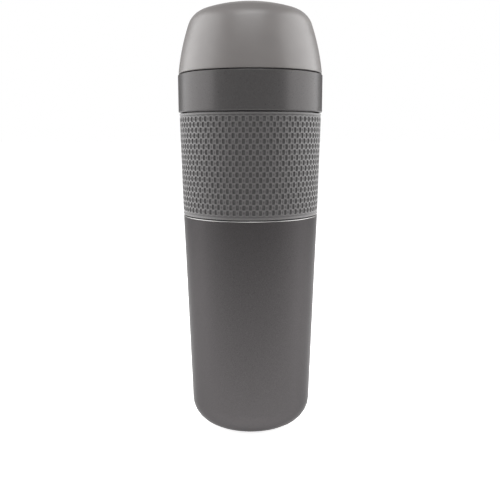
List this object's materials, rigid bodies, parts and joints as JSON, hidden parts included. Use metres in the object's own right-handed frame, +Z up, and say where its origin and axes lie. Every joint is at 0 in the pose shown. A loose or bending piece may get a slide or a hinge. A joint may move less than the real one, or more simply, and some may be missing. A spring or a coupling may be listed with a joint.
{
  "type": "insulated travel mug",
  "caption": "Vacuum-insulated travel mug with a honeycomb silicone grip, a screw-in push-button drinking lid with a metal band, and a domed screw cap.",
  "frame": {"origin": "middle of the base, on the surface that the mug stands on", "axes": "+Z up along the mug's axis"},
  "size_m": [0.0738, 0.0738, 0.2194],
  "materials": {
    "body_paint": "satin dark grey metallic paint on steel",
    "bare_steel": "plain drawn stainless steel",
    "seal_bead": "dull grey sealing metal",
    "copper_foil": "polished copper-coloured foil",
    "pad_silicone": "matt dark silicone",
    "grip_silicone": "matt dark grey silicone with a raised honeycomb",
    "seal_silicone": "pale translucent silicone",
    "lid_plastic": "fine matt moulded plastic",
    "band_metal": "satin dark coated steel",
    "valve_plastic": "moulded plastic",
    "button_plastic": "fine matt moulded plastic",
    "cap_plastic": "soft-touch warm grey plastic",
    "cap_inner_plastic": "fine matt moulded plastic"
  },
  "bodies": {
    "flask": {"outer_shell": "body_paint", "inner_liner": "bare_steel", "base_plate": "bare_steel", "vacuum_seal": "seal_bead", "getter": "seal_bead", "heat_foil": "copper_foil", "base_pad": "pad_silicone", "grip_sleeve": "grip_silicone"},
    "lid_lifter": {"lid_gasket": "seal_silicone"},
    "lid": {"lid_body": "lid_plastic", "lid_skirt": "lid_plastic", "lid_plug": "lid_plastic", "lid_band": "band_metal", "valve_guide": "valve_plastic", "button_seal": "seal_silicone", "button_spring": "bare_steel"},
    "valve": {"push_button": "button_plastic", "valve_stem": "bare_steel", "valve_plate": "valve_plastic", "valve_seal": "seal_silicone", "stem_nut": "bare_steel"},
    "cap_lifter": {"cap_seal": "seal_silicone"},
    "cap": {"cap_shell": "cap_plastic", "cap_liner": "cap_inner_plastic"}
  },
  "joints": [
    {"name": "lid_lift", "type": "slide", "parent": "flask", "child": "lid_lifter", "axis": [0, 0, 1], "range_m": [0, 0.042]},
    {"name": "lid_turn", "type": "hinge", "parent": "lid_lifter", "child": "lid", "pos_m": [0, 0, 0.17], "axis": [0, 0, 1], "range_deg": [0, 1260]},
    {"name": "button_press", "type": "slide", "parent": "lid", "child": "valve", "axis": [0, 0, 1], "range_m": [-0.004, 0], "stiffness_N_per_m": 800, "springref_m": 0.004, "deforming": ["button_spring"]},
    {"name": "cap_lift", "type": "slide", "parent": "lid", "child": "cap_lifter", "axis": [0, 0, 1], "range_m": [0, 0.03]},
    {"name": "cap_turn", "type": "hinge", "parent": "cap_lifter", "child": "cap", "pos_m": [0, 0, 0.19], "axis": [0, 0, 1], "range_deg": [0, 900]}
  ],
  "couplings": [
    {"joint": "lid_lift", "follows": "lid_turn", "m_per_rad": 0.0019099},
    {"joint": "cap_lift", "follows": "cap_turn", "m_per_rad": 0.0019099}
  ]
}
